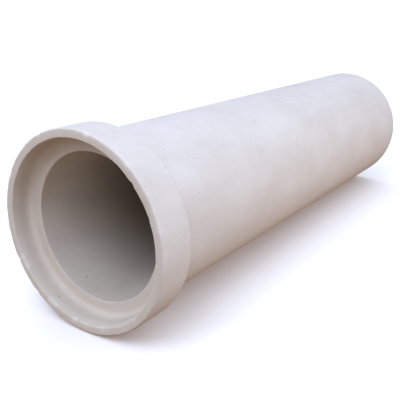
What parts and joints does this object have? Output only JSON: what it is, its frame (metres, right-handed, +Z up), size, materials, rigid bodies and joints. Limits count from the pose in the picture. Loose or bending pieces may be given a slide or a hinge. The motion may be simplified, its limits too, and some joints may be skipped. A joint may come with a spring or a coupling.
{
  "type": "concrete sewer pipe",
  "caption": "Straight cast concrete drain pipe with a plain spigot at one end and a wide bell with a stepped socket at the other, lying on its side.",
  "frame": {"origin": "on the ground, under the middle of the pipe's length and width as it lies", "axes": "+Y along the pipe from the bell to the spigot end, which the axis falls to by about 1.1 degrees; +Z up from the ground"},
  "size_m": [0.806, 2.6042, 0.8085],
  "materials": {
    "concrete": "smooth as-cast, matte, with fine air holes"
  },
  "bodies": {
    "root": {"pipe": "concrete"}
  },
  "joints": []
}
